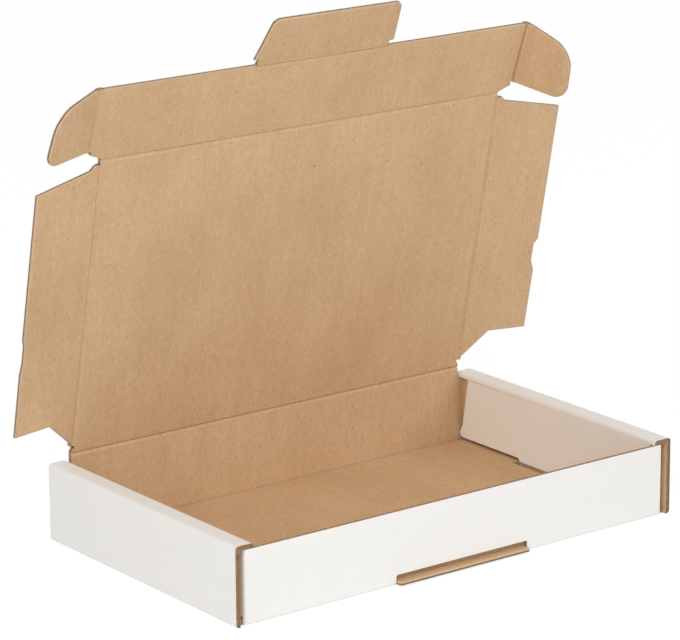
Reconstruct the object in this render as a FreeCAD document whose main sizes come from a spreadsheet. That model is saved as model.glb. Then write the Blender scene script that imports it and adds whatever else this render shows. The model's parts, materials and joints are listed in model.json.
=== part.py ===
import FreeCAD, Part
import os
import Sketcher
from FreeCAD import Placement, Rotation, Vector

# Folded mailer box, lid up. The base stands on z = 0 with its middle at the origin.
# X runs from the left side wall to the right one, Y from the front wall to the rear one.
doc = FreeCAD.newDocument("MailerBox")
sheet = doc.addObject("Spreadsheet::Sheet", "Sizes")

# millimetres and degrees
driving = [
    # the sheet
    ("board", 2.8),          # thickness of the corrugated board
    ("foldRound", 2.0),      # outside radius of a folded corner
    ("layerGap", 0.15),      # between two layers folded flat on each other
    ("play", 0.3),           # between a closed flap and the wall beside it
    ("creaseGap", 0.25),     # between the round nose of a crease and the next panel
    # the tray
    ("wide", 300.0),
    ("deep", 176.0),
    ("rim", 44.5),           # top of the rolled side walls
    ("earPlay", 0.4),        # how much wider the ear slit is than the board
    ("dustLong", 36.0),      # length of the four dust flaps
    ("dustSlope", 3.0),      # how far a dust flap narrows towards its end
    ("footGap", 1.5),        # foot of the rolled panel above the floor
    ("toeHigh", 3.5),        # toe at each end of its foot
    ("toeStep", 2.4),        # how far its ends fall back above the toe
    ("panelSlope", 4.9),     # and further, up to the rim
    ("panelRound", 3.0),
    ("lockLong", 59.0),      # lock tab of the rolled panel, in its floor slot
    ("lockPlay", 1.0),
    ("lockSlotWide", 7.6),
    ("lockClear", 0.25),     # lock tab's end above the table
    ("lipOut", 3.5),         # lip of the floor in front of the front wall
    # the lid
    ("lidLift", 2.2),        # closed lid above the rims
    ("lidRest", 78.0),       # lid's angle up from closed
    # its side flaps
    ("sideRest", 9.0),
    ("sideClear", 1.8),      # closed side flap's edge above the floor
    ("sideStart", 5.0),      # from the hinge to the start of the flap's crease
    ("reliefWide", 18.5),    # slanted relief at the hinge
    ("reliefLong", 22.0),
    ("noseBack", 2.4),       # front end of the flap behind the front crease
    ("noseSlope", 6.2),      # how far the flap's end falls back over its width
    ("notchAt", 77.0),
    ("notchLong", 17.0),
    ("leftNotch", 1.0),      # depth of the notch in each side flap's edge
    ("rightNotch", 2.4),
    ("notchSlope", 3.0),
    # the front flap with its ears and tab
    ("frontRest", 8.0),
    ("frontClear", 0.4),     # closed front flap's edge above the lip
    ("cornerDrop", 2.6),     # slant beside the lid's corner
    ("leftEarRest", 16.5),
    ("rightEarRest", 58.0),
    ("earWide", 34.0),
    ("earShoulder", 4.0),
    ("earSlope", 7.0),
    ("earNarrow", 3.5),
    ("earRound", 17.0),
    ("earToe", 8.0),
    ("tabRest", 10.0),
    ("tabNeck", 89.4),
    ("tabBarb", 95.6),
    ("barbNarrow", 0.6),
    ("tabTop", 86.0),
    ("tabLong", 32.3),
    ("tabRound", 4.5),
    ("tabPlay", 0.6),        # slot beyond the tab's neck at each end
    ("slotRound", 1.0),
]
# worked out from the driving sizes
derived = [
    ("halfBoard", "board / 2"),
    ("halfWide", "wide / 2"),
    ("halfDeep", "deep / 2"),
    ("slitWide", "board + earPlay"),
    ("wallPack", "3 * board + slitWide + layerGap"),
    ("wallTop", "rim - board - layerGap"),
    ("panelFace", "halfWide - wallPack"),
    ("creaseBack", "halfBoard + creaseGap"),
    ("hingeY", "halfDeep - halfBoard"),
    ("hingeZ", "rim + lidLift + halfBoard"),
    ("sideCrease", "panelFace - play - halfBoard"),
    ("lidLong", "deep + play"),
    ("sideDrop", "hingeZ - board - sideClear"),
    ("frontDrop", "hingeZ - board - frontClear"),
    ("earCrease", "halfWide - board - earPlay / 2 - halfBoard"),
    ("earTop", "hingeZ - wallTop + layerGap"),
    ("tabCrease", "hingeZ - board - layerGap - halfBoard"),
    ("slotTop", "2 * board + 3 * layerGap"),
    ("slotHalf", "tabNeck / 2 + tabPlay"),
    ("barbAt", "halfBoard + play + board + play"),
    ("noseStep", "hingeZ - wallTop - play - board"),
    ("sideEnd", "hingeY + halfDeep - board - play"),
    ("lockSlotIn", "panelFace + board + layerGap - lockSlotWide"),
    ("wallEnd", "halfWide - board - slitWide"),
    ("panelEnd", "halfDeep - board - play"),
    ("panelFoot", "board + footGap"),
    ("throughCut", "4 * board"),
]
row = 1
for alias, value in driving:
    sheet.set(f"A{row}", alias)
    sheet.set(f"B{row}", str(value))
    sheet.setAlias(f"B{row}", alias)
    row += 1
for alias, formula in derived:
    sheet.set(f"A{row}", alias)
    sheet.set(f"B{row}", "=" + formula)
    sheet.setAlias(f"B{row}", alias)
    row += 1
doc.recompute()
names = [alias for alias, value in driving + derived]


# the formula with each size read from the sheet
def bound(formula):
    words, word = [], ""
    for letter in formula + " ":
        if letter.isalnum():
            word += letter
            continue
        words.append("Sizes." + word if word in names else word)
        words.append(letter)
        word = ""
    return "".join(words)


def number(formula):
    value = sheet.evalExpression(bound(formula))
    return float(getattr(value, "Value", value))


# a flat panel: an outline on one of its own planes, padded to both sides of it;
# each entry of rounds is some of its corners, by number, and then their radius
def plate(name, plane, corners, thickness="board", at=(), rounds=()):
    body = doc.addObject("PartDesign::Body", name)
    sketch = body.newObject("Sketcher::SketchObject", name + "Outline")
    origin = [f for f in body.Origin.OriginFeatures if f.Role == plane + "_Plane"][0]
    sketch.AttachmentSupport = (origin, [""])
    sketch.MapMode = "FlatFace"
    points = [Vector(number(x), number(y), 0) for x, y in corners]
    count = len(points)
    for i in range(count):
        sketch.addGeometry(Part.LineSegment(points[i], points[(i + 1) % count]), False)
    for i in range(count):
        sketch.addConstraint(Sketcher.Constraint("Coincident", i, 2, (i + 1) % count, 1))
    for i, (x, y) in enumerate(corners):
        for kind, formula, now in (("DistanceX", x, points[i].x), ("DistanceY", y, points[i].y)):
            held = sketch.addConstraint(Sketcher.Constraint(kind, -1, 1, i, 1, now))
            sketch.setExpression(f"Constraints[{held}]", bound(formula))
    pad = body.newObject("PartDesign::Pad", name + "Pad")
    pad.Profile = sketch
    pad.Midplane = True
    pad.setExpression("Length", bound(thickness))
    body.Tip = pad
    doc.recompute()
    for n, (*which, radius) in enumerate(rounds):
        edges = []
        for k, edge in enumerate(body.Shape.Edges, 1):
            ends = [v.Point for v in edge.Vertexes]
            if len(ends) == 2 and any(stands(ends, points[i], plane) for i in which):
                edges.append(f"Edge{k}")
        base = body.Tip
        fillet = body.newObject("PartDesign::Fillet", f"{name}Round{n}")
        fillet.Base = (base, edges)
        fillet.setExpression("Radius", bound(radius))
        body.Tip = fillet
        doc.recompute()
    for axis, formula in zip("xyz", at):
        body.setExpression(f"Placement.Base.{axis}", bound(formula))
    return body


# whether an edge stands on an outline's corner, across the panel
def stands(ends, corner, plane):
    first, second = {"XY": (0, 1), "XZ": (0, 2), "YZ": (1, 2)}[plane]
    return all(abs(p[first] - corner.x) < 1e-4 and abs(p[second] - corner.y) < 1e-4 for p in ends)


# the round nose of a crease, along its hinge line from the point at
def rod(name, length, axis, at):
    piece = doc.addObject("Part::Cylinder", name)
    piece.setExpression("Radius", bound("halfBoard"))
    piece.setExpression("Height", bound(length))
    piece.Placement = Placement(Vector(), Rotation(Vector(0, 0, 1), axis))
    for letter, formula in zip("xyz", at):
        piece.setExpression(f"Placement.Base.{letter}", bound(formula))
    return piece


def joined(name, pieces):
    whole = doc.addObject("Part::MultiFuse", name)
    whole.Shapes = pieces
    whole.Refine = True
    return whole


def mirrored(side, corners):
    return [(f"{side} * ({x})", y) for x, y in corners]


along = {"x": Vector(1, 0, 0), "y": Vector(0, 1, 0)}

# the tray: floor, outer side walls and the strips that roll over them are one section
section = [
    ("-halfWide", "0"),
    ("halfWide", "0"),
    ("halfWide", "rim"),
    ("panelFace", "rim"),
    ("panelFace", "rim - 2 * board"),
    ("panelFace + board", "rim - 2 * board"),
    ("panelFace + board", "rim - board"),
    ("halfWide - board", "rim - board"),
    ("halfWide - board", "board"),
    ("-halfWide + board", "board"),
    ("-halfWide + board", "rim - board"),
    ("-panelFace - board", "rim - board"),
    ("-panelFace - board", "rim - 2 * board"),
    ("-panelFace", "rim - 2 * board"),
    ("-panelFace", "rim"),
    ("-halfWide", "rim"),
]
trayParts = [plate("shell", "XZ", section, "deep", rounds=[(0, 1, 2, 3, 14, 15, "foldRound")])]

# front and rear wall, low at their ends to pass under the strips
lowWall = [
    ("-wallEnd", "0"),
    ("wallEnd", "0"),
    ("wallEnd", "wallTop"),
    ("-wallEnd", "wallTop"),
]
rearWall = lowWall[:3] + [
    ("panelFace - layerGap", "wallTop"),
    ("panelFace - layerGap", "hingeZ"),
    ("-panelFace + layerGap", "hingeZ"),
    ("-panelFace + layerGap", "wallTop"),
] + lowWall[3:]
trayParts.append(plate("frontWall", "XZ", lowWall, at=("0", "-hingeY", "0")))
trayParts.append(plate("rearWall", "XZ", rearWall, at=("0", "hingeY", "0")))
hingeStart = ("-panelFace + layerGap", "hingeY", "hingeZ")
trayParts.append(rod("hingeNose", "2 * (panelFace - layerGap)", along["x"], hingeStart))

# rolled panels, each with a lock tab that stands in the floor
for side, label in ((-1, "left"), (1, "right")):
    rolled = [
        ("-panelEnd", "panelFoot"),
        ("-lockLong / 2", "panelFoot"),
        ("-lockLong / 2", "lockClear"),
        ("lockLong / 2", "lockClear"),
        ("lockLong / 2", "panelFoot"),
        ("panelEnd", "panelFoot"),
        ("panelEnd", "panelFoot + toeHigh"),
        ("panelEnd - toeStep", "panelFoot + toeHigh + 2 * toeStep"),
        ("panelEnd - toeStep - panelSlope", "rim - foldRound"),
        ("-panelEnd + toeStep + panelSlope", "rim - foldRound"),
        ("-panelEnd + toeStep", "panelFoot + toeHigh + 2 * toeStep"),
        ("-panelEnd", "panelFoot + toeHigh"),
    ]
    trayParts.append(
        plate(
            label + "Rolled",
            "YZ",
            rolled,
            at=(f"{side} * (panelFace + halfBoard)", "0", "0"),
            rounds=[(0, 5, "min(panelRound; 0.9 * toeHigh)")],
        )
    )
    # dust flaps, folded back from the walls into the hollow of the side wall
    for end, where in ((-1, "Front"), (1, "Rear")):
        dust = [
            (f"{end} * halfDeep", "panelFoot"),
            (f"{end} * (halfDeep - dustLong)", "panelFoot + dustSlope"),
            (f"{end} * (halfDeep - dustLong)", "wallTop - dustSlope"),
            (f"{end} * halfDeep", "wallTop"),
        ]
        trayParts.append(
            plate(
                label + where + "Dust",
                "YZ",
                dust,
                at=(f"{side} * (wallEnd - halfBoard)", "0", "0"),
            )
        )

lip = [
    ("-slotHalf", "-halfDeep - lipOut"),
    ("slotHalf", "-halfDeep - lipOut"),
    ("slotHalf", "-halfDeep + board"),
    ("-slotHalf", "-halfDeep + board"),
]
trayParts.append(plate("floorLip", "XY", lip, at=("0", "0", "halfBoard")))
folded = joined("foldedTray", trayParts)

# what is cut through the sheet: the front slot and the floor slots of the lock tabs
frontSlot = [
    ("-slotHalf", "board"),
    ("slotHalf", "board"),
    ("slotHalf", "slotTop"),
    ("-slotHalf", "slotTop"),
]
cuts = [
    plate("frontSlot", "XZ", frontSlot, "throughCut", ("0", "-hingeY", "0"), [(2, 3, "slotRound")])
]
for side, label in ((-1, "left"), (1, "right")):
    lockSlot = mirrored(side, [
        ("lockSlotIn", "-lockLong / 2 - lockPlay"),
        ("panelFace - layerGap", "-lockLong / 2 - lockPlay"),
        ("panelFace - layerGap", "lockLong / 2 + lockPlay"),
        ("lockSlotIn", "lockLong / 2 + lockPlay"),
    ])
    cuts.append(plate(label + "LockSlot", "XY", lockSlot, "throughCut"))
tray = doc.addObject("Part::Cut", "tray")
tray.Base = folded
tray.Tool = joined("cutAway", cuts)

# the lid panel lies flat in its own plane, hinge line on X, inner face towards +Z
lid = plate(
    "lidSheet",
    "XY",
    [
        ("-sideCrease", "creaseBack"),
        ("sideCrease", "creaseBack"),
        ("sideCrease", "lidLong"),
        ("-sideCrease", "lidLong"),
    ],
)
noses = [rod("frontNose", "2 * sideCrease", along["x"], ("-sideCrease", "lidLong", "0"))]
for side, label in ((-1, "left"), (1, "right")):
    start = (f"{side} * sideCrease", "sideStart", "0")
    noses.append(rod(label + "SideNose", "lidLong - noseBack - sideStart", along["y"], start))
lidPanel = joined("lid_panel", [lid] + noses)

# side flaps, from the lid's crease outwards
sideFlaps, ears = [], []
for side, label, notch in ((-1, "left", "leftNotch"), (1, "right", "rightNotch")):
    outline = [
        ("creaseBack", "sideStart + creaseBack"),
        ("creaseBack", "lidLong - noseBack"),
        ("noseStep", "lidLong - noseBack"),
        ("noseStep + board", "sideEnd"),
        ("sideDrop", "sideEnd - noseSlope"),
        ("sideDrop", "notchAt + notchSlope"),
        (f"sideDrop - {notch}", "notchAt"),
        (f"sideDrop - {notch}", "notchAt - notchLong + 2 * notchSlope"),
        ("sideDrop", "notchAt - notchLong"),
        ("sideDrop", "reliefLong"),
        ("reliefWide", "reliefLong"),
    ]
    sideFlaps.append(plate(f"{label}_side_flap", "XY", mirrored(side, outline)))

# front flap: the panel that closes in front of the front wall
neck = "tabNeck / 2"
front = [
    ("-sideCrease", "creaseBack"),
    ("sideCrease", "creaseBack"),
    ("earCrease", "cornerDrop + creaseBack"),
    ("earCrease", "frontDrop"),
    (neck, "frontDrop"),
    (neck, "tabCrease"),
    (f"-{neck}", "tabCrease"),
    (f"-{neck}", "frontDrop"),
    ("-earCrease", "frontDrop"),
    ("-earCrease", "cornerDrop + creaseBack"),
]
frontParts = [plate("frontSheet", "XY", front)]
frontParts.append(rod("tabNose", "tabNeck", along["x"], (f"-{neck}", "tabCrease", "0")))
for side, label in ((-1, "left"), (1, "right")):
    start = (f"{side} * earCrease", "earTop", "0")
    frontParts.append(rod(label + "EarNose", "frontDrop - earTop", along["y"], start))
    ear = [
        ("creaseBack", "earTop"),
        ("creaseBack", "frontDrop"),
        ("earShoulder", "frontDrop"),
        ("earWide - earNarrow", "frontDrop - earSlope"),
        ("earWide", "earTop"),
    ]
    ears.append(
        plate(f"{label}_ear", "XY", mirrored(side, ear), rounds=[(3, "earRound"), (4, "earToe")])
    )
frontFlap = joined("front_flap", frontParts)

# lock tab with its two barbs
half = [
    (neck, "creaseBack"),
    (neck, "barbAt"),
    ("tabBarb / 2", "barbAt + play"),
    ("tabBarb / 2 - barbNarrow", "barbAt + play + halfBoard"),
    ("tabTop / 2", "tabLong"),
]
tabOutline = half + [(f"-({x})", y) for x, y in reversed(half)]
lockTab = plate("lock_tab", "XY", tabOutline, rounds=[(4, 5, "tabRound")])
doc.recompute()

# the panels as they stand in the open box
lidPlace = Placement(
    Vector(0, number("hingeY"), number("hingeZ")),
    Rotation(along["x"], 180 - number("lidRest")),
)
frontPlace = lidPlace * Placement(
    Vector(0, number("lidLong"), 0), Rotation(along["x"], number("frontRest"))
)
lidPanel.Placement = lidPlace
frontFlap.Placement = frontPlace
lockTab.Placement = frontPlace * Placement(
    Vector(0, number("tabCrease"), 0), Rotation(along["x"], number("tabRest"))
)
earRests = (number("leftEarRest"), number("rightEarRest"))
for side, sideFlap, ear, earRest in zip((-1, 1), sideFlaps, ears, earRests):
    sideFlap.Placement = lidPlace * Placement(
        Vector(side * number("sideCrease"), 0, 0), Rotation(along["y"], -side * number("sideRest"))
    )
    ear.Placement = frontPlace * Placement(
        Vector(side * number("earCrease"), 0, 0), Rotation(along["y"], -side * earRest)
    )
doc.recompute()

nodes = [tray, lidPanel] + sideFlaps + [frontFlap] + ears + [lockTab]
for piece in doc.Objects:
    if "Invalid" in piece.State or "Error" in piece.State:
        raise RuntimeError(f"{piece.Name}: {piece.State}")
os.makedirs("parts", exist_ok=True)
for node in nodes:
    node.Label = node.Name
    if node.Shape.isNull() or not node.Shape.isValid():
        raise RuntimeError(f"{node.Name} has no valid shape")
    node.Shape.exportStep(f"parts/{node.Label}.step")
    print(node.Label, len(node.Shape.Solids), round(node.Shape.Volume), node.Shape.BoundBox)
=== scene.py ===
import json
import math
import bpy
from mathutils import Matrix, Vector


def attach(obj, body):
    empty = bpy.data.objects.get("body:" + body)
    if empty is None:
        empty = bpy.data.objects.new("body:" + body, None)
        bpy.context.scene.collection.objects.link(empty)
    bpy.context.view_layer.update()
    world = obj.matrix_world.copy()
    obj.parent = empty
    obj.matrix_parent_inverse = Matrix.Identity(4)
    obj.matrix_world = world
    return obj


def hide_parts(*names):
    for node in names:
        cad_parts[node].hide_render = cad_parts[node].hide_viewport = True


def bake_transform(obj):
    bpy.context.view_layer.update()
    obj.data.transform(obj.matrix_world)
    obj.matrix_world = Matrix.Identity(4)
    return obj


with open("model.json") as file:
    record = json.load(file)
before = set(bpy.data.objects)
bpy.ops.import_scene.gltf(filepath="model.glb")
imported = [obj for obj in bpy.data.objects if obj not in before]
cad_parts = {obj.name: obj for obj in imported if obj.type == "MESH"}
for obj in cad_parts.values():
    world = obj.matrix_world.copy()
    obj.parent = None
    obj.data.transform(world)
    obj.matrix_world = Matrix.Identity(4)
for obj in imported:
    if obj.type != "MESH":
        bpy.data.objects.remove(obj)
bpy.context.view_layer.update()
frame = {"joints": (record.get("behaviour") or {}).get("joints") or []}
mm = 0.001
tiny = 1e-6    # places closer than this, in metres, are the same
faceOn = 0.9   # a face whose normal has more than this along an axis looks that way
joints = {joint["name"]: joint for joint in frame["joints"]}
sides = ((-1, "left"), (1, "right"))

# B-flute single-wall board: a white-top liner outside, a kraft liner inside
board = {
    "thickness": 2.8 * mm,
    "linerThickness": 0.3 * mm,
    "mediumThickness": 0.25 * mm,
    "flutePitch": 6.4 * mm,
    "stepsPerFlute": 12,
    "fluteMargin": 1 * mm,      # flutes stand out past a panel by this until they are cut
    "creaseReach": 1.65 * mm,   # from a hinge line to the flat panel on either side
    "foldRadius": 2 * mm,
    "foldSteps": 6,
    "roundSteps": 8,
    "edgeRecess": 1.0 * mm,     # how far the medium lies behind the liners at a cut edge
    "rimRecess": 0.2 * mm,      # and at a crushed rim
    "recessLedge": 0.02 * mm,
    "rimThickness": 1.5 * mm,   # the board along an edge that the die has crushed
    "rimReach": 1.2 * mm,       # a rim is crushed from here on beside a crease
    "rimSteps": 4,
    # rings of a crushed rim, from the cut edge inwards: share of the crush, width of the ring
    "rimRings": [(1.0, 0.3 * mm), (0.3, 0.35 * mm), (0.0, 0.3 * mm)],
}
thick = board["thickness"]
halfBoard = thick / 2
reach = board["creaseReach"]
rimReach = board["rimReach"]
creaseBand = rimReach / 2   # a spot of an outline this near a crease belongs to the crease
crush = (thick - board["rimThickness"]) / 2


def activate(*objects):
    bpy.ops.object.select_all(action="DESELECT")
    for item in objects:
        item.select_set(True)
    bpy.context.view_layer.objects.active = objects[0]


# goes into edit mode with the parts selected that pass the test, which is given a face's
# middle and normal, an edge's two ends or a vertex's place
def pick(item, kind, test):
    activate(item)
    mesh = item.data
    bpy.ops.object.mode_set(mode="EDIT")
    bpy.ops.mesh.select_mode(type=kind)
    bpy.ops.mesh.select_all(action="DESELECT")
    bpy.ops.object.mode_set(mode="OBJECT")
    if kind == "FACE":
        for face in mesh.polygons:
            face.select = test(face.center, face.normal)
    elif kind == "EDGE":
        for edge in mesh.edges:
            ends = [mesh.vertices[i].co for i in edge.vertices]
            edge.select = test(ends[0], ends[1])
    else:
        for vertex in mesh.vertices:
            vertex.select = test(vertex.co)
    bpy.ops.object.mode_set(mode="EDIT")


def everyFace(middle, normal):
    return True


def leaveEdit():
    bpy.ops.object.mode_set(mode="OBJECT")


def moveBy(x, y, z):
    return Matrix.Translation((x, y, z))


def turnBy(angle, axis):
    return Matrix.Rotation(angle, 4, axis)


# stands a flat panel up along the box, its kraft side towards +X or -X
def standUp(side):
    return Matrix(((0, 0, side, 0), (side, 0, 0, 0), (0, 1, 0, 0), (0, 0, 0, 1)))


# puts a piece where it stands in the box, with its place in its mesh
def settle(item, place):
    activate(item)
    item.matrix_world = place
    bpy.ops.object.transform_apply(location=True, rotation=True, scale=True)


def applyModifier(item, kind, **settings):
    activate(item)
    modifier = item.modifiers.new(kind.title(), kind)
    for name, value in settings.items():
        setattr(modifier, name, value)
    bpy.ops.object.modifier_apply(modifier=modifier.name)


def joinUp(*items):
    activate(*items)
    bpy.ops.object.join()
    return items[0]


def smooth(item, degrees=30):
    activate(item)
    bpy.ops.object.shade_smooth_by_angle(angle=math.radians(degrees))


def finish(item, body, node):
    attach(item, body)
    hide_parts(node)


# where the panels stand at rest, all from the frame's joints
def jointPoint(name):
    return Vector(joints[name]["pos_m"])


# a flap's lower limit lays it flat with its neighbour
def restAngle(name):
    return math.radians(-joints[name]["range_deg"][0])


quarter = math.pi / 2
lidRest = math.radians(joints["lid_hinge"]["range_deg"][1])
frontRest = restAngle("front_flap_fold")
tabRest = restAngle("lock_tab_fold")
hinge = jointPoint("lid_hinge")
sideCrease = jointPoint("right_side_flap_fold").x
earCrease = jointPoint("right_ear_fold").x
lidLong = (jointPoint("front_flap_fold") - hinge).length
tabCrease = (jointPoint("lock_tab_fold") - jointPoint("front_flap_fold")).length
rearPlace = moveBy(0, hinge.y, 0) @ turnBy(quarter, "X")
hingePlace = moveBy(0, hinge.y, hinge.z) @ turnBy(quarter, "X")
frontWallPlace = moveBy(0, -hinge.y, 0) @ turnBy(math.pi, "Z") @ turnBy(quarter, "X")
lidPlace = moveBy(0, hinge.y, hinge.z) @ turnBy(math.pi - lidRest, "X")
frontPlace = lidPlace @ moveBy(0, lidLong, 0) @ turnBy(frontRest, "X")
tabPlace = frontPlace @ moveBy(0, tabCrease, 0) @ turnBy(tabRest, "X")


# the board's papers, in sRGB colours
def toLinear(hexCode):
    channels = [int(hexCode[i:i + 2], 16) / 255 for i in (1, 3, 5)]
    return tuple(c / 12.92 if c <= 0.04045 else ((c + 0.055) / 1.055) ** 2.4 for c in channels) + (1,)


# adds a node; settings are its properties or inputs, links are input name or number to socket
def addNode(tree, kind, settings, links=None):
    made = tree.nodes.new(kind)
    for name, value in settings.items():
        if hasattr(made, str(name)):
            setattr(made, name, value)
        else:
            made.inputs[name].default_value = value
    for name, socket in (links or {}).items():
        tree.links.new(made.inputs[name], socket)
    return made


# grains are noises: millimetres across and along the sheet, detail and offset;
# shades multiply the colour, specks are (grain, limit, colour), bump is strength and height
noiseLow, noiseHigh = 0.3, 0.7   # a noise seldom leaves this range
noiseRoughness = 0.55
speckEdge = 0.05

# unbleached kraft liner, calendered: matt brown with cloudy formation, streaks along the
# machine direction, fine fibre and a few dark and pale shives
kraftLook = {
    "colour": "#D6B58E",
    "cloudColour": "#CEAB83",
    "roughness": 0.78,
    "specular": 0.25,
    "grains": {
        "cloud": (45, 60, 3, 0.0),
        "streak": (5.5, 90, 3, 3.1),
        "mottle": (1.6, 3.2, 3, 7.7),
        "fibre": (0.55, 1.1, 2, 1.3),
        "darkShive": (1.5, 2.1, 1, 5.0),
        "paleShive": (1.3, 1.8, 1, 11.0),
    },
    "shades": {"streak": (0.975, 1.025), "mottle": (0.93, 1.07), "fibre": (0.92, 1.08)},
    "specks": [("darkShive", 0.735, "#8A6A4C"), ("paleShive", 0.75, "#E8CFAC")],
    "bump": (0.25, 0.1 * mm),
}
# white-top liner, a bleached layer on brown pulp: faintly mottled warm white, low sheen
whiteLook = {
    "colour": "#F8F6F2",
    "cloudColour": "#F6F4F0",
    "roughness": 0.55,
    "specular": 0.35,
    "grains": {
        "cloud": (14, 22, 4, 0.0),
        "mottle": (1.2, 2.4, 3, 4.4),
        "fibre": (0.8, 1.8, 3, 6.1),
        "shive": (1.4, 2.0, 1, 9.0),
    },
    "shades": {"mottle": (0.988, 1.012)},
    "specks": [("shive", 0.79, "#DAD4CB")],
    "bump": (0.15, 0.1 * mm),
}
# recycled fluting medium: rough, darker grey-brown, fibrous
mediumLook = {
    "colour": "#B89D80",
    "cloudColour": "#96795C",
    "roughness": 0.9,
    "specular": 0.15,
    "grains": {"cloud": (2.5, 2.5, 3, 0.0), "fibre": (0.5, 0.9, 2, 2.0)},
    "shades": {"fibre": (0.87, 1.13)},
    "specks": [],
    "bump": (0.5, 0.2 * mm),
}


def makePaper(name, look):
    material = bpy.data.materials.new(name)
    material.use_nodes = True
    tree = material.node_tree
    shader = tree.nodes["Principled BSDF"]
    shader.inputs["Roughness"].default_value = look["roughness"]
    shader.inputs["Specular IOR Level"].default_value = look["specular"]
    sheet = addNode(tree, "ShaderNodeUVMap", {"uv_map": "UVMap"})
    grains = {}
    for grain, (across, along, detail, offset) in look["grains"].items():
        stretched = addNode(tree, "ShaderNodeMapping", {
            "Scale": (1 / mm / across, 1 / mm / along, 1),
            "Location": (offset, offset, offset),
        }, {"Vector": sheet.outputs[0]})
        noise = addNode(tree, "ShaderNodeTexNoise", {
            "Scale": 1.0, "Detail": detail, "Roughness": noiseRoughness,
        }, {"Vector": stretched.outputs[0]})
        grains[grain] = noise.outputs["Fac"]
    cloud = addNode(tree, "ShaderNodeMapRange", {"From Min": noiseLow, "From Max": noiseHigh},
                    {"Value": grains["cloud"]})
    colour = addNode(tree, "ShaderNodeMix", {
        "data_type": "RGBA", 6: toLinear(look["colour"]), 7: toLinear(look["cloudColour"]),
    }, {0: cloud.outputs[0]}).outputs[2]
    for grain, (darkest, lightest) in look["shades"].items():
        share = addNode(tree, "ShaderNodeMapRange", {
            "From Min": noiseLow, "From Max": noiseHigh, "To Min": darkest, "To Max": lightest,
        }, {"Value": grains[grain]})
        colour = addNode(tree, "ShaderNodeVectorMath", {"operation": "SCALE"},
                         {0: colour, "Scale": share.outputs[0]}).outputs[0]
    for grain, limit, speckColour in look["specks"]:
        mask = addNode(tree, "ShaderNodeMapRange", {"From Min": limit, "From Max": limit + speckEdge},
                       {"Value": grains[grain]})
        colour = addNode(tree, "ShaderNodeMix", {"data_type": "RGBA", 7: toLinear(speckColour)},
                         {0: mask.outputs[0], 6: colour}).outputs[2]
    tree.links.new(shader.inputs["Base Color"], colour)
    strength, height = look["bump"]
    bump = addNode(tree, "ShaderNodeBump", {"Strength": strength, "Distance": height},
                   {"Height": grains["fibre"]})
    tree.links.new(shader.inputs["Normal"], bump.outputs[0])
    return material


sheetMaterials = [
    makePaper("whiteTopLiner", whiteLook),
    makePaper("kraftLiner", kraftLook),
    makePaper("flutingMedium", mediumLook),
]
whiteSide, kraftSide, cutSide = 0, 1, 2
print("materials made")

# where on the paper each piece's pattern starts, in metres, and the step from middle to right,
# so that no two pieces show the same spot
paperStarts = {
    "lid": (0.1, 0),
    "sideFlap": (0.15, 0.02),
    "dustFlap": (0.2, 0.03),
    "frontFlap": (0.25, 0),
    "frontWall": (0.3, 0),
    "lockTab": (0.35, 0),
    "rearWall": (0.4, 0),
    "sideWall": (0.5, 0.1),
    "ear": (0.6, 0.02),
    "floor": (0.7, 0),
    "rolledPanel": (0.9, 0.05),
}
rearStep = 0.01   # and the step of a dust flap from middle to rear


def paperStart(piece, side=0):
    start, step = paperStarts[piece]
    return start + step * side


# gives a piece its three papers; rule says from a face's middle and normal which one it shows
def paint(item, rule):
    item.data.materials.clear()
    for material in sheetMaterials:
        item.data.materials.append(material)
    for face in item.data.polygons:
        face.material_index = rule(face.center, face.normal)


# lays the papers' pattern on a piece at its true size, before it is folded or placed
def layPattern(item, shift, turned=False):
    pick(item, "FACE", everyFace)
    bpy.ops.uv.cube_project(cube_size=1.0, correct_aspect=False, scale_to_bounds=False)
    leaveEdit()
    for corner in item.data.uv_layers.active.data:
        u, v = corner.uv
        corner.uv = (v + shift, u + shift) if turned else (u + shift, v + shift)


# a flat outline with some corners rounded, thickened from low to high;
# rounds are (corner number, radius)
def dieCut(name, corners, low, high, rounds=()):
    bpy.ops.object.select_all(action="DESELECT")
    bpy.ops.mesh.primitive_circle_add(vertices=len(corners), fill_type="NGON")
    sheet = bpy.context.object
    sheet.name = name
    for vertex, (x, y) in zip(sheet.data.vertices, corners):
        vertex.co = (x, y, low)
    for number, radius in rounds:
        here = Vector(corners[number])
        before = Vector(corners[number - 1]) - here
        after = Vector(corners[(number + 1) % len(corners)]) - here
        tangent = radius / math.tan(before.angle(after) / 2)
        pick(sheet, "VERT", lambda point: (point.xy - here).length < tiny)
        bpy.ops.mesh.bevel(offset=tangent, segments=board["roundSteps"], affect="VERTICES")
        leaveEdit()
    pick(sheet, "FACE", everyFace)
    bpy.ops.mesh.extrude_region_move(TRANSFORM_OT_translate={"value": (0, 0, high - low)})
    bpy.ops.mesh.select_all(action="SELECT")
    bpy.ops.mesh.normals_make_consistent(inside=False)
    leaveEdit()
    return sheet


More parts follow.
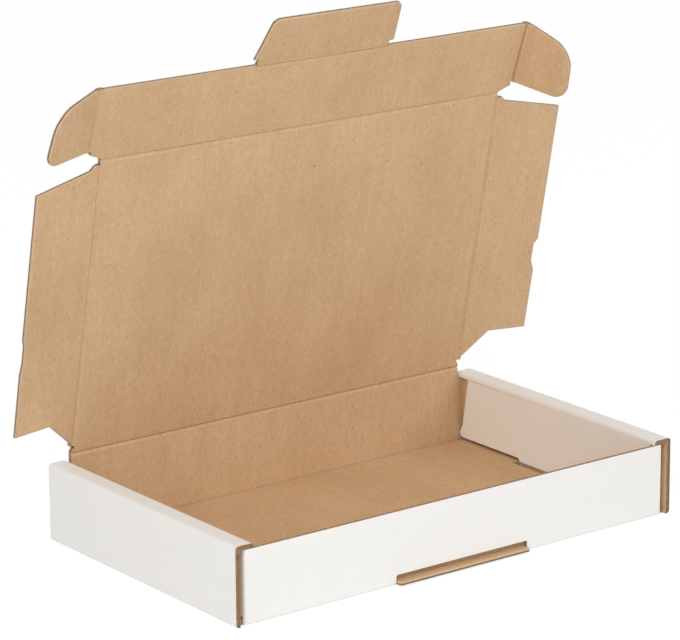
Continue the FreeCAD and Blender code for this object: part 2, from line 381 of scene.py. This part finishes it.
# the fluted medium over a rectangle from its low to its high corner;
# alongX says that the flutes run along X, room is the height between the liners
def flutes(name, low, high, alongX, room):
    pitch = board["flutePitch"]
    first, last = (low[1], high[1]) if alongX else (low[0], high[0])
    start, end = (low[0], high[0]) if alongX else (low[1], high[1])
    count = math.ceil((last - first) / pitch) + 1
    bpy.ops.object.select_all(action="DESELECT")
    bpy.ops.mesh.primitive_grid_add(
        x_subdivisions=1, y_subdivisions=board["stepsPerFlute"], size=1)
    wave = bpy.context.object
    wave.name = name
    swing = (room - board["mediumThickness"]) / 2
    for vertex in wave.data.vertices:
        along = start if vertex.co.x < 0 else end
        across = (vertex.co.y + 0.5) * pitch
        height = swing * math.cos(2 * math.pi * across / pitch)
        vertex.co = (along, first + across, height) if alongX else (first + across, along, height)
    offset = (0, pitch, 0) if alongX else (pitch, 0, 0)
    applyModifier(wave, "ARRAY", count=count, use_relative_offset=False, use_constant_offset=True,
                  constant_offset_displace=offset, use_merge_vertices=True, merge_threshold=10 * tiny)
    applyModifier(wave, "SOLIDIFY", thickness=board["mediumThickness"], offset=0)
    pick(wave, "FACE", everyFace)
    bpy.ops.mesh.normals_make_consistent(inside=False)
    leaveEdit()
    return wave


# a panel's corners with one more wherever a crushed rim meets a crease
def rimCorners(corners, creased):
    made = []
    for i, (x, y) in enumerate(corners):
        nextX, nextY = corners[(i + 1) % len(corners)]
        made.append((x, y))
        if creased((x + nextX) / 2, (y + nextY) / 2):
            continue
        share = rimReach / math.hypot(nextX - x, nextY - y)
        for atEnd, part in ((creased(x, y), share), (creased(nextX, nextY), 1 - share)):
            if atEnd:
                made.append((x + (nextX - x) * part, y + (nextY - y) * part))
    return made


# a vertex's place on the flat sheet, to a micrometre
def spotOf(vertex):
    return round(vertex.co.x, 6), round(vertex.co.y, 6)


# presses the rim of a liner towards the middle of the board: all rings are inset first,
# and then each one sinks by its share
def crushRim(liner, sink, creased):
    rings = {}
    pick(liner, "FACE", lambda middle, normal: abs(normal.z) > faceOn)
    leaveEdit()
    for share, width in board["rimRings"]:
        for vertex in liner.data.vertices:
            rings.setdefault(spotOf(vertex), share)
        bpy.ops.object.mode_set(mode="EDIT")
        bpy.ops.mesh.inset(thickness=width, depth=0)
        leaveEdit()
    for vertex in liner.data.vertices:
        spot = spotOf(vertex)
        if spot in rings and not creased(vertex.co.x, vertex.co.y):
            vertex.co.z += rings[spot] * sink


# a panel built as the board is: kraft liner on +Z, white-top liner on -Z, medium between;
# creased says which spots of its outline run on into the next panel, the rest is crushed
def boardPanel(name, corners, shift, alongX=True, rounds=(), creased=None):
    liner = board["linerThickness"]
    if creased:
        outline = rimCorners(corners, creased)
        rounds = [(outline.index(corners[number]), radius) for number, radius in rounds]
        corners = outline
    inner = dieCut(name, corners, halfBoard - liner, halfBoard, rounds)
    outer = dieCut(name + "Outer", corners, -halfBoard, -halfBoard + liner, rounds)
    cutter = dieCut(name + "Cutter", corners, -halfBoard, halfBoard, rounds)
    room = thick - 2 * liner
    if creased:
        crushRim(inner, -crush, creased)
        crushRim(outer, crush, creased)
        room -= 2 * crush
    xs, ys = [x for x, y in corners], [y for x, y in corners]
    margin = board["fluteMargin"]
    wave = flutes(name + "Medium", (min(xs) - margin, min(ys) - margin),
                  (max(xs) + margin, max(ys) + margin), alongX, room)
    applyModifier(wave, "BOOLEAN", operation="INTERSECT", object=cutter, solver="EXACT")
    bpy.data.objects.remove(cutter)
    for item, paper in ((inner, kraftSide), (outer, whiteSide), (wave, cutSide)):
        paint(item, lambda middle, normal: paper)
    panel = joinUp(inner, outer, wave)
    layPattern(panel, shift, turned=not alongX)
    if creased:
        smooth(panel, degrees=50)
    return panel


# sets the medium back behind the liners at the cut edges that the test names
def recessEdge(item, depth, test):
    pick(item, "FACE", test)
    bpy.ops.mesh.inset(thickness=board["linerThickness"], depth=0)
    bpy.ops.mesh.inset(thickness=board["recessLedge"], depth=-depth)
    leaveEdit()


creaseLook = {
    "rows": 12,
    "kraftScore": 0.5,    # depth of the score on the kraft side, in half boards
    "whiteScore": 0.10,   # and on the white side
    "sharpness": 3,       # a higher power gives a narrower score
    "tuck": 0.03 * mm,    # its ends lie this far under the panels' faces
    "leastLean": 0.3,     # faces that lean less show the cut board
}


# a scored crease along x, its hinge line on y = 0, z = 0: layout puts it on its flat sheet,
# and it is then bent by the rest angle and placed with the sheet
def creaseStrip(name, length, angle, layout, place, shift):
    bpy.ops.object.select_all(action="DESELECT")
    bpy.ops.mesh.primitive_cube_add(size=1)
    strip = bpy.context.object
    strip.name = name
    for vertex in strip.data.vertices:
        x, y, z = vertex.co
        vertex.co = (x * length, y * 2 * reach, z * 2 * halfBoard)
    pick(strip, "EDGE", lambda a, b: abs(a.y - b.y) > reach)
    bpy.ops.mesh.subdivide(number_cuts=creaseLook["rows"] - 1)
    leaveEdit()
    for vertex in strip.data.vertices:
        middle = 1 - (vertex.co.y / reach) ** 2
        depth = creaseLook["kraftScore"] if vertex.co.z > 0 else creaseLook["whiteScore"]
        vertex.co.z *= 1 - depth * middle ** creaseLook["sharpness"]
        vertex.co.z -= math.copysign(creaseLook["tuck"] * (1 - middle), vertex.co.z)

    def rule(middle, normal):
        if abs(normal.x) > faceOn or abs(normal.z) <= creaseLook["leastLean"]:
            return cutSide
        return kraftSide if normal.z > 0 else whiteSide

    paint(strip, rule)
    settle(strip, layout)
    layPattern(strip, shift)
    settle(strip, layout.inverted())
    for vertex in strip.data.vertices:
        share = (vertex.co.y / reach + 1) / 2
        turn = turnBy(angle * share * share * (3 - 2 * share), "X")   # eased in and out
        vertex.co = turn @ vertex.co
    settle(strip, place @ layout)
    start = place @ layout @ Vector((0, -reach, 0))
    end = place @ layout @ turnBy(angle, "X") @ Vector((0, reach, 0))
    smooth(strip, degrees=40)
    return strip, start, end


# the tray, in the sizes of the part
tray = {
    "halfWide": 150 * mm,
    "halfDeep": 88 * mm,
    "rim": 44.5 * mm,
    "wallTop": 41.55 * mm,
    "rollFace": 138.25 * mm,     # inner face of the rolled side wall
    "foldedEnd": 144 * mm,       # where the front and rear walls turn into their dust flaps
    "hingeOver": 0.35 * mm,      # the lid's hinge runs this far past the lid's side creases
    "dustLong": 36 * mm,
    "dustSlope": 3 * mm,
    "panelFoot": 4.3 * mm,
    "panelEnd": 84.9 * mm,
    "toeHigh": 3.5 * mm,
    "toeStep": 2.4 * mm,
    "rearSlope": 4.9 * mm,       # how far the rolled panel's rear end leans in above its toe
    "frontSlope": 1.2 * mm,
    "panelRound": 3 * mm,
    "lockHalf": 29.5 * mm,
    "lockRound": 2 * mm,
    "lockClear": 0.25 * mm,
    "slotHalf": 45.3 * mm,       # slot for the lock tab at the foot of the front wall
    "slotTop": 6.05 * mm,
    "slotRound": 1 * mm,
    "lipOut": 3.5 * mm,
    "lipClear": 0.2 * mm,        # between the lip and the slot's ends
    "lipRound": 1.6 * mm,
    "scoreWide": 0.6 * mm,       # score in the floor along the folds of the walls
    "scoreDeep": 1.7 * mm,
    "scoreShadeLean": 0.5,            # a face of the floor that looks up by more than this shows kraft; the score's sloping sides look up less and get the darker medium paper, painted shade along the folds
    "bendLean": 0.05,            # a face of a wall that looks in or out by more, that side's paper
    "floorSlotIn": 133.6 * mm,   # beside the rolled panel
    "floorSlotOut": 138.1 * mm,
    "floorSlotHalf": 30.5 * mm,
}
inX, inY = tray["halfWide"] - thick, tray["halfDeep"] - thick
endX, endY = tray["foldedEnd"], tray["halfDeep"]
slotHalf, slotTop, wallTop = tray["slotHalf"], tray["slotTop"], tray["wallTop"]
hingeHalf = sideCrease + tray["hingeOver"]
hingeFoot = hinge.z - reach


# floor, scored along its folds, with the open part of the slots that hold the lock tabs of the
# rolled panels
def trayFloor():
    floor = dieCut("trayFloor", [(-inX, -inY), (inX, -inY), (inX, inY), (-inX, inY)], 0, thick)
    pick(floor, "FACE", lambda middle, normal: normal.z > faceOn)
    bpy.ops.mesh.inset(thickness=tray["scoreWide"], depth=0)
    leaveEdit()
    for vertex in floor.data.vertices:
        x, y, z = vertex.co
        if z > thick - tiny and (abs(x) > inX - tiny or abs(y) > inY - tiny):
            vertex.co.z -= tray["scoreDeep"]
    for side in (-1, 1):
        bpy.ops.object.select_all(action="DESELECT")
        middle = side * (tray["floorSlotIn"] + tray["floorSlotOut"]) / 2
        bpy.ops.mesh.primitive_cube_add(size=1, location=(middle, 0, 0))
        cutter = bpy.context.object
        cutter.scale = (tray["floorSlotOut"] - tray["floorSlotIn"], 2 * tray["floorSlotHalf"], 4 * thick)
        applyModifier(floor, "BOOLEAN", operation="DIFFERENCE", object=cutter, solver="EXACT")
        bpy.data.objects.remove(cutter)

    # the score's sloping sides get the darker medium paper as painted shade along the folds; the raw
    # edges and the slots' cut faces show the medium as it is
    def rule(middle, normal):
        if normal.z > tray["scoreShadeLean"]:
            return kraftSide
        return whiteSide if normal.z < -faceOn else cutSide

    layPattern(floor, paperStart("floor"))
    paint(floor, rule)
    return floor


# lip of the floor that runs on under the front wall, through the slot
def floorLip():
    half = slotHalf - tray["lipClear"]
    front = -tray["halfDeep"] - tray["lipOut"]
    lip = boardPanel("floorLip", [(-half, front), (half, front), (half, -inY), (-half, -inY)],
                     paperStart("floor"), rounds=[(0, tray["lipRound"]), (1, tray["lipRound"])],
                     creased=lambda x, y: y > -inY - creaseBand)
    settle(lip, moveBy(0, 0, halfBoard))
    return lip


# front or rear wall: folded up from the floor, its ends folded back into dust flaps
def foldedWall(name, corners, rounds, place, shift):
    wall = dieCut(name, corners, -halfBoard, halfBoard, rounds)

    def foldEdge(a, b):
        outer = a.z < 0 and b.z < 0
        foot = a.y < tiny and b.y < tiny
        end = abs(a.x) > endX - tiny and abs(b.x) > endX - tiny and a.x * b.x > 0
        return outer and (foot or end)

    pick(wall, "EDGE", foldEdge)
    bpy.ops.mesh.bevel(offset=board["foldRadius"], segments=board["foldSteps"], affect="EDGES")
    leaveEdit()

    def rimEdge(a, b):
        return min(a.y, b.y) > wallTop - tiny and max(a.y, b.y) < wallTop + tiny and abs(a.z - b.z) < tiny

    pick(wall, "EDGE", rimEdge)
    bpy.ops.mesh.bevel(offset=crush, segments=board["rimSteps"], affect="EDGES")
    leaveEdit()

    def rimFace(middle, normal):
        return normal.y > faceOn and abs(middle.y - wallTop) < tiny and abs(middle.z) < tiny

    recessEdge(wall, board["rimRecess"], rimFace)
    layPattern(wall, shift)
    rimMiddle = halfBoard - crush - board["linerThickness"] + tiny   # the recess lies within this

    def rule(middle, normal):
        if middle.y > wallTop - crush - tiny and abs(middle.z) < rimMiddle:
            return cutSide
        if normal.z > tray["bendLean"]:
            return kraftSide
        if normal.z < -tray["bendLean"] or abs(middle.x) > endX - tiny or middle.y < tiny:
            return whiteSide
        if normal.y > faceOn:
            return kraftSide if middle.z > 0 else whiteSide
        return cutSide

    paint(wall, rule)
    settle(wall, place)
    smooth(wall)
    return wall


# outer side wall: up, over the rim and down again, drawn as a profile and turned to stand up
def sideWall(name, side):
    wide, face, rim = side * tray["halfWide"], side * tray["rollFace"], tray["rim"]
    profile = [
        (wide, 0), (wide, rim), (face, rim), (face, rim - thick),
        (side * inX, rim - thick), (side * inX, 0),
    ]
    fold = board["foldRadius"]
    wall = dieCut(name, profile, -endY, endY, [(0, fold), (1, fold), (2, fold)])
    recessEdge(wall, board["edgeRecess"], lambda middle, normal: abs(normal.z) > faceOn)
    layPattern(wall, paperStart("sideWall", side))
    rawEnd = endY - board["edgeRecess"] - tiny   # the recess lies beyond this

    def rule(middle, normal):
        if abs(middle.z) > rawEnd:
            return cutSide
        inner = abs(abs(middle.x) - inX) < tiny and side * normal.x < -faceOn
        underStrip = normal.y < -faceOn and middle.y > rim / 2
        return kraftSide if inner or underStrip else whiteSide

    paint(wall, rule)
    settle(wall, turnBy(quarter, "X"))
    smooth(wall)
    return wall


# panel that hangs from the rolled strip and locks in the floor, drawn with its rear end to the right
def rolledPanel(name, side):
    foot, end, lock = tray["panelFoot"], tray["panelEnd"], tray["lockHalf"]
    top = tray["rim"] - thick
    toeTop = foot + tray["toeHigh"]
    aboveToe = end - tray["toeStep"]
    outline = [
        (-end, foot), (-lock, foot), (-lock, tray["lockClear"]), (lock, tray["lockClear"]), (lock, foot),
        (end, foot), (end, toeTop), (aboveToe, toeTop + 2 * tray["toeStep"]),
        (aboveToe - tray["rearSlope"], top), (-end + tray["frontSlope"], top),
    ]
    rounds = [
        (5, tray["panelRound"]), (0, tray["panelRound"]),
        (1, tray["lockRound"]), (4, tray["lockRound"]),
    ]
    panel = boardPanel(name, [(side * y, z) for y, z in outline], paperStart("rolledPanel", side),
                       alongX=False, rounds=rounds, creased=lambda x, y: y > top - creaseBand)
    settle(panel, moveBy(side * (tray["rollFace"] + halfBoard), 0, 0) @ standUp(side))
    return panel


# end of the front or rear wall, folded back inside the side wall
def dustFlap(name, side, wallSide):
    foot, slope = tray["panelFoot"], tray["dustSlope"]
    tip = wallSide * (tray["halfDeep"] - tray["dustLong"])
    root = wallSide * inY
    outline = [(root, foot), (tip, foot + slope), (tip, wallTop - slope), (root, wallTop)]
    flap = boardPanel(name, [(y * -side, z) for y, z in outline],
                      paperStart("dustFlap", side) + rearStep * wallSide)
    settle(flap, moveBy(side * (endX - halfBoard), 0, 0) @ standUp(-side))
    return flap


frontCorners = [
    (-endX, 0), (-slotHalf, 0), (-slotHalf, slotTop), (slotHalf, slotTop), (slotHalf, 0),
    (endX, 0), (endX, wallTop), (-endX, wallTop),
]
rearCorners = [
    (-endX, 0), (endX, 0), (endX, wallTop), (hingeHalf, wallTop), (hingeHalf, hingeFoot),
    (-hingeHalf, hingeFoot), (-hingeHalf, wallTop), (-endX, wallTop),
]
slotRounds = [(2, tray["slotRound"]), (3, tray["slotRound"])]
trayPieces = [
    trayFloor(),
    floorLip(),
    foldedWall("frontWall", frontCorners, slotRounds, frontWallPlace, paperStart("frontWall")),
    foldedWall("rearWall", rearCorners, [], rearPlace, paperStart("rearWall")),
]
for side, label in sides:
    trayPieces.append(sideWall(label + "SideWall", side))
    trayPieces.append(rolledPanel(label + "RolledPanel", side))
    for wallSide, wallLabel in ((-1, "Front"), (1, "Rear")):
        trayPieces.append(dustFlap(label + wallLabel + "DustFlap", side, wallSide))
for piece in trayPieces:
    finish(piece, "tray", "tray")
print("tray built")

# the lid and its flaps, each drawn flat from its own crease and then placed
lid = {
    "sideStart": 5 * mm,
    "noseBack": 2.4 * mm,   # the side creases stop this far short of the front crease
}
lidEdge = sideCrease - reach
sideLow, sideHigh = lid["sideStart"], lidLong - lid["noseBack"]
lidCorners = [
    (-hingeHalf, reach), (hingeHalf, reach), (lidEdge, sideLow), (lidEdge, sideHigh),
    (sideCrease, sideHigh), (sideCrease, lidLong - reach),
    (-sideCrease, lidLong - reach), (-sideCrease, sideHigh),
    (-lidEdge, sideHigh), (-lidEdge, sideLow),
]
lidPanel = boardPanel("lidPanel", lidCorners, paperStart("lid"))
settle(lidPanel, lidPlace)
finish(lidPanel, "lid_panel", "lid_panel")

frontFlap = {
    "drop": 44.9 * mm,
    "cornerDrop": 2.6 * mm,   # its corners slope down by this to the ears
    "tabNeck": 44.7 * mm,
}
neck, frontDrop = frontFlap["tabNeck"], frontFlap["drop"]
frontEdge = earCrease - reach
frontHalf = [
    (sideCrease, reach), (frontEdge, reach + frontFlap["cornerDrop"]), (frontEdge, frontDrop),
    (neck, frontDrop), (neck, tabCrease - reach),
]
frontOutline = frontHalf + [(-x, y) for x, y in reversed(frontHalf)]


def frontCreased(x, y):
    besideEar = abs(x) > frontEdge - creaseBand
    alongLid = y < reach + creaseBand
    alongTab = abs(x) < neck + tiny and abs(y - tabCrease + reach) < creaseBand
    return besideEar or alongLid or alongTab


front = boardPanel("frontFlap", frontOutline, paperStart("frontFlap"), creased=frontCreased)
settle(front, frontPlace)
finish(front, "front_flap", "front_flap")

lockTab = {
    "barbAt": 4.8 * mm,
    "barbStep": 0.3 * mm,
    "barbHalf": 47.8 * mm,
    "barbNarrow": 0.6 * mm,
    "topHalf": 43 * mm,
    "long": 32.3 * mm,
    "round": 4.5 * mm,
}
barbTop = lockTab["barbAt"] + lockTab["barbStep"]
tabHalf = [
    (neck, reach), (neck, lockTab["barbAt"]), (lockTab["barbHalf"], barbTop),
    (lockTab["barbHalf"] - lockTab["barbNarrow"], barbTop + halfBoard),
    (lockTab["topHalf"], lockTab["long"]),
]
tabOutline = tabHalf + [(-x, y) for x, y in reversed(tabHalf)]
tab = boardPanel("lockTab", tabOutline, paperStart("lockTab"),
                 rounds=[(4, lockTab["round"]), (5, lockTab["round"])],
                 creased=lambda x, y: y < reach + creaseBand)
settle(tab, tabPlace)
finish(tab, "lock_tab", "lock_tab")

sideFlap = {
    "drop": 43.5 * mm,
    "endStep": 3.45 * mm,
    "end": 171.3 * mm,
    "endSlope": 6.2 * mm,
    "reliefWide": 18.5 * mm,   # from here in, its foot slants down to the hinge
    "reliefLong": 22 * mm,
    "notchAt": 77 * mm,
    "notchLong": 17 * mm,
    "notchDeep": {"left": 1 * mm, "right": 2.4 * mm},
    "notchSlope": 3 * mm,
}
drop, notchAt = sideFlap["drop"], sideFlap["notchAt"]
notchLow = notchAt - sideFlap["notchLong"]
ear = {
    "top": 6.7 * mm,
    "foot": 44.9 * mm,
    "wide": 34 * mm,
    "shoulder": 4 * mm,
    "slope": 7 * mm,
    "narrow": 3.5 * mm,
    "cornerRound": 17 * mm,
    "toeRound": 8 * mm,
}
earOutline = [
    (reach, ear["top"]), (reach, ear["foot"]), (ear["shoulder"], ear["foot"]),
    (ear["wide"] - ear["narrow"], ear["foot"] - ear["slope"]), (ear["wide"], ear["top"]),
]
earRounds = [(3, ear["cornerRound"]), (4, ear["toeRound"])]


# a side flap's or an ear's own crease runs along x = 0
def besideCrease(x, y):
    return abs(x) < reach + creaseBand


for side, label in sides:
    sideAngle = restAngle(label + "_side_flap_fold")
    earAngle = restAngle(label + "_ear_fold")
    notchIn = drop - sideFlap["notchDeep"][label]
    sideOutline = [
        (reach, sideLow + reach),
        (reach, sideHigh),
        (sideFlap["endStep"], sideHigh),
        (sideFlap["endStep"] + thick, sideFlap["end"]),
        (drop, sideFlap["end"] - sideFlap["endSlope"]),
        (drop, notchAt + sideFlap["notchSlope"]),
        (notchIn, notchAt),
        (notchIn, notchLow + 2 * sideFlap["notchSlope"]),
        (drop, notchLow),
        (drop, sideFlap["reliefLong"]),
        (sideFlap["reliefWide"], sideFlap["reliefLong"]),
    ]
    flap = boardPanel(label + "SideFlap", [(side * x, y) for x, y in sideOutline],
                      paperStart("sideFlap", side), creased=besideCrease)
    settle(flap, lidPlace @ moveBy(side * sideCrease, 0, 0) @ turnBy(-side * sideAngle, "Y"))
    finish(flap, label + "_side_flap", label + "_side_flap")
    earPanel = boardPanel(label + "Ear", [(side * x, y) for x, y in earOutline],
                          paperStart("ear", side), rounds=earRounds, creased=besideCrease)
    settle(earPanel, frontPlace @ moveBy(side * earCrease, 0, 0) @ turnBy(-side * earAngle, "Y"))
    finish(earPanel, label + "_ear", label + "_ear")

    # creases up the sides: the strip's own x runs along the hinge, its y outwards
    upTheSide = Matrix(((0, side, 0, 0), (-side, 0, 0, 0), (0, 0, 1, 0), (0, 0, 0, 1)))
    middle = (sideLow + sideHigh) / 2
    strip, start, end = creaseStrip(
        label + "SideCrease", sideHigh - sideLow, sideAngle,
        moveBy(side * sideCrease, middle, 0) @ upTheSide, lidPlace, paperStart("lid"))
    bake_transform(strip)
    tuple(start)
    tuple(end)
    middle = (ear["top"] + frontDrop) / 2
    strip, start, end = creaseStrip(
        label + "EarCrease", frontDrop - ear["top"], earAngle,
        moveBy(side * earCrease, middle, 0) @ upTheSide, frontPlace, paperStart("frontFlap"))
    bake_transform(strip)
    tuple(start)
    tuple(end)

# creases across the box: name, length, angle, layout, place, bodies on both sides, paper
across = [
    ("lidCrease", 2 * hingeHalf, quarter - lidRest, Matrix(), hingePlace,
     "tray", "lid_panel", paperStart("rearWall")),
    ("frontCrease", 2 * sideCrease, frontRest, moveBy(0, lidLong, 0), lidPlace,
     "lid_panel", "front_flap", paperStart("lid")),
    ("tabCrease", 2 * neck, tabRest, moveBy(0, tabCrease, 0), frontPlace,
     "front_flap", "lock_tab", paperStart("frontFlap")),
]
for name, length, angle, layout, place, parent, child, shift in across:
    strip, start, end = creaseStrip(name, length, angle, layout, place, shift)
    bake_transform(strip)
    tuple(start)
    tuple(end)
print("lid and flaps built")

# white studio: a flat matt paper floor, two softboxes and an even sky
studio = {
    "floorColour": "#F0F0F0",
    "floorRoughness": 0.9,
    "floorSize": 8,
    "floorDrop": 0.4 * mm,   # under the box
    "glowShare": 0.25,       # of the floor's light that is its own, like a lit paper sweep
    "glowSeen": 0.62,        # more of it straight to the camera
    "glowStrength": 1.07,
    "worldColour": "#FFFFFF",
    "worldStrength": 0.48,
    # name, place, point that it looks at, size, power
    "lamps": [
        ("keyLamp", (-1.1, -0.9, 0.95), (0, 0, 0.1), 1.2, 11.0),
        ("fillLamp", (0.8, -1.3, 0.95), (0, 0, 0.15), 1.2, 6.5),
    ],
}
for name, place, aim, size, power in studio["lamps"]:
    bpy.ops.object.light_add(type="AREA", location=place)
    lamp = bpy.context.object
    lamp.name = name
    lamp.data.size = size
    lamp.data.energy = power
    lamp.rotation_euler = (Vector(aim) - Vector(place)).to_track_quat("-Z", "Y").to_euler()

# the sky lights the box softly and is plain white where the camera sees it
world = bpy.data.worlds.new("studioWorld")
world.use_nodes = True
bpy.context.scene.world = world
tree = world.node_tree
soft = tree.nodes["Background"]
soft.inputs["Color"].default_value = toLinear(studio["worldColour"])
soft.inputs["Strength"].default_value = studio["worldStrength"]
plain = addNode(tree, "ShaderNodeBackground", {"Color": (1, 1, 1, 1), "Strength": 1.0})
rays = addNode(tree, "ShaderNodeLightPath", {})
seen = rays.outputs["Is Camera Ray"]
for ray in ("Is Glossy Ray", "Is Transmission Ray"):
    seen = addNode(tree, "ShaderNodeMath", {"operation": "MAXIMUM"},
                   {0: seen, 1: rays.outputs[ray]}).outputs[0]
mixed = addNode(tree, "ShaderNodeMixShader", {}, {0: seen, 1: soft.outputs[0], 2: plain.outputs[0]})
tree.links.new(tree.nodes["World Output"].inputs["Surface"], mixed.outputs[0])

# the floor is matt paper with some light of its own, so that it stays white around the shadow
bpy.ops.object.select_all(action="DESELECT")
bpy.ops.mesh.primitive_plane_add(size=studio["floorSize"], location=(0, 0, -studio["floorDrop"]))
ground = bpy.context.object
ground.name = "studioFloor"
material = bpy.data.materials.new("studioFloor")
material.use_nodes = True
tree = material.node_tree
shader = tree.nodes["Principled BSDF"]
shader.inputs["Base Color"].default_value = toLinear(studio["floorColour"])
shader.inputs["Roughness"].default_value = studio["floorRoughness"]
shader.inputs["Specular IOR Level"].default_value = 0.0
glow = addNode(tree, "ShaderNodeEmission", {"Color": (1, 1, 1, 1), "Strength": studio["glowStrength"]})
rays = addNode(tree, "ShaderNodeLightPath", {})
share = addNode(tree, "ShaderNodeMath", {
    "operation": "MULTIPLY_ADD", 1: studio["glowSeen"], 2: studio["glowShare"],
}, {0: rays.outputs["Is Camera Ray"]})
mixed = addNode(tree, "ShaderNodeMixShader", {},
                {0: share.outputs[0], 1: shader.outputs[0], 2: glow.outputs[0]})
tree.links.new(tree.nodes["Material Output"].inputs["Surface"], mixed.outputs[0])
ground.data.materials.append(material)

# the photograph's view, as fitted to the box's straight edges
camera = {
    "place": (-1.14188, -1.48839, 0.64558),
    "right": (0.79625, -0.60493, -0.00622),
    "up": (0.16805, 0.2113, 0.96287),
    "lens": 187.84,
    "sensorWidth": 36,
    "clipStart": 0.05,
}
right, up = Vector(camera["right"]).normalized(), Vector(camera["up"]).normalized()
back = right.cross(up)
bpy.ops.object.camera_add(location=camera["place"])
eye = bpy.context.object
eye.rotation_euler = Matrix((right, up, back)).transposed().to_euler()
eye.data.lens = camera["lens"]
eye.data.sensor_width = camera["sensorWidth"]
eye.data.clip_start = camera["clipStart"]
bpy.context.scene.camera = eye
bpy.context.scene.view_settings.view_transform = "Standard"
print("studio ready")
